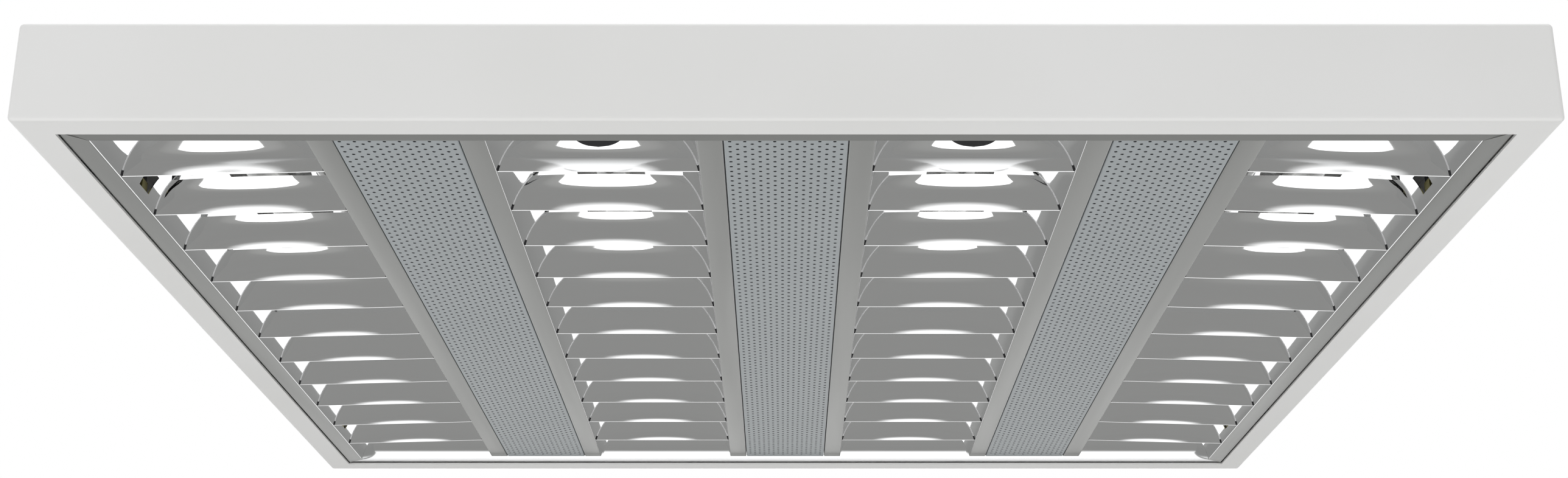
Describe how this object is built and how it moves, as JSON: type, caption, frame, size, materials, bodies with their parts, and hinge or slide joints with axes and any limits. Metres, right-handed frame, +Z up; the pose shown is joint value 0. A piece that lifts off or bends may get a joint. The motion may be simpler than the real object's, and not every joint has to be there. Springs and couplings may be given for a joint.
{
  "type": "recessed troffer light",
  "caption": "Square lay-in ceiling light: a white steel tray with a hinged mirror louvre, cross blades and perforated panels over fluorescent tubes.",
  "frame": {"origin": "middle of the rim's underside, the face that rests on the ceiling's T-bars", "axes": "+Z up into the ceiling void, +Y along the lamps away from the viewer, +X across the lamps to the right"},
  "size_m": [0.597, 0.597, 0.0435],
  "materials": {
    "white_powder_coat": "white powder coat, semi-matt",
    "mirror_aluminium": "bright anodised mirror sheet with satin strips",
    "panel_grey": "light grey, finely perforated",
    "spring_brass": "yellow passivated spring steel",
    "steel_zinc": "bright zinc plate",
    "lamp_glass": "white phosphor inside glass",
    "lamp_cap_metal": "plain aluminium",
    "pin_brass": "plain brass",
    "holder_plastic": "white moulded plastic",
    "rotor_plastic": "white moulded plastic",
    "ballast_case": "white lacquered steel",
    "terminal_plastic": "white moulded plastic",
    "wire_insulation": "white insulation",
    "black_rubber": "black moulded rubber"
  },
  "bodies": {
    "housing": {"ballast_left": "ballast_case", "ballast_right": "ballast_case", "bracket_rivets": "steel_zinc", "cable_grommet": "black_rubber", "catch_keepers": "steel_zinc", "hinge_brackets": "spring_brass", "holder_rail_far": "steel_zinc", "holder_rail_near": "steel_zinc", "lamp_wiring": "wire_insulation", "lampholders_far": "holder_plastic", "lampholders_near": "holder_plastic", "mains_wiring": "wire_insulation", "stud_nuts": "steel_zinc", "terminal_block": "terminal_plastic", "terminal_screws": "steel_zinc", "tray": "white_powder_coat", "weld_studs": "steel_zinc"},
    "louvre": {"catch_feet": "spring_brass", "catch_rivets": "steel_zinc", "cross_blades_1": "mirror_aluminium", "cross_blades_2": "mirror_aluminium", "cross_blades_3": "mirror_aluminium", "cross_blades_4": "mirror_aluminium", "hinge_pins": "steel_zinc", "louvre_ears": "spring_brass", "louvre_end_far": "mirror_aluminium", "louvre_end_near": "mirror_aluminium", "panel_centre": "panel_grey", "panel_left": "panel_grey", "panel_right": "panel_grey", "side_reflector_1_left": "mirror_aluminium", "side_reflector_1_right": "mirror_aluminium", "side_reflector_2_left": "mirror_aluminium", "side_reflector_2_right": "mirror_aluminium", "side_reflector_3_left": "mirror_aluminium", "side_reflector_3_right": "mirror_aluminium", "side_reflector_4_left": "mirror_aluminium", "side_reflector_4_right": "mirror_aluminium"},
    "catch_near": {"catch_leaf_near": "spring_brass"},
    "catch_far": {"catch_leaf_far": "spring_brass"},
    "lamp_1": {"lamp_tube_1": "lamp_glass", "lamp_caps_1": "lamp_cap_metal", "lamp_pins_1": "pin_brass", "holder_rotors_1": "rotor_plastic"},
    "lamp_2": {"lamp_tube_2": "lamp_glass", "lamp_caps_2": "lamp_cap_metal", "lamp_pins_2": "pin_brass", "holder_rotors_2": "rotor_plastic"},
    "lamp_3": {"lamp_tube_3": "lamp_glass", "lamp_caps_3": "lamp_cap_metal", "lamp_pins_3": "pin_brass", "holder_rotors_3": "rotor_plastic"},
    "lamp_4": {"lamp_tube_4": "lamp_glass", "lamp_caps_4": "lamp_cap_metal", "lamp_pins_4": "pin_brass", "holder_rotors_4": "rotor_plastic"}
  },
  "joints": [
    {"name": "louvre_hinge", "type": "hinge", "parent": "housing", "child": "louvre", "pos_m": [-0.278, 0, 0.0038], "axis": [0, 1, 0], "range_deg": [0, 90]},
    {"name": "catch_near_flex", "type": "hinge", "parent": "louvre", "child": "catch_near", "pos_m": [0.2817, -0.208, 0.0025], "axis": [0, 1, 0], "range_deg": [-15, 0], "stiffness_Nm_per_rad": 0.05},
    {"name": "catch_far_flex", "type": "hinge", "parent": "louvre", "child": "catch_far", "pos_m": [0.2817, 0.208, 0.0025], "axis": [0, 1, 0], "range_deg": [-15, 0], "stiffness_Nm_per_rad": 0.05},
    {"name": "lamp_1_turn", "type": "hinge", "parent": "housing", "child": "lamp_1", "pos_m": [-0.2322, 0, 0.029], "axis": [0, 1, 0], "range_deg": [0, 90]},
    {"name": "lamp_2_turn", "type": "hinge", "parent": "housing", "child": "lamp_2", "pos_m": [-0.0774, 0, 0.029], "axis": [0, 1, 0], "range_deg": [0, 90]},
    {"name": "lamp_3_turn", "type": "hinge", "parent": "housing", "child": "lamp_3", "pos_m": [0.0774, 0, 0.029], "axis": [0, 1, 0], "range_deg": [0, 90]},
    {"name": "lamp_4_turn", "type": "hinge", "parent": "housing", "child": "lamp_4", "pos_m": [0.2322, 0, 0.029], "axis": [0, 1, 0], "range_deg": [0, 90]}
  ]
}
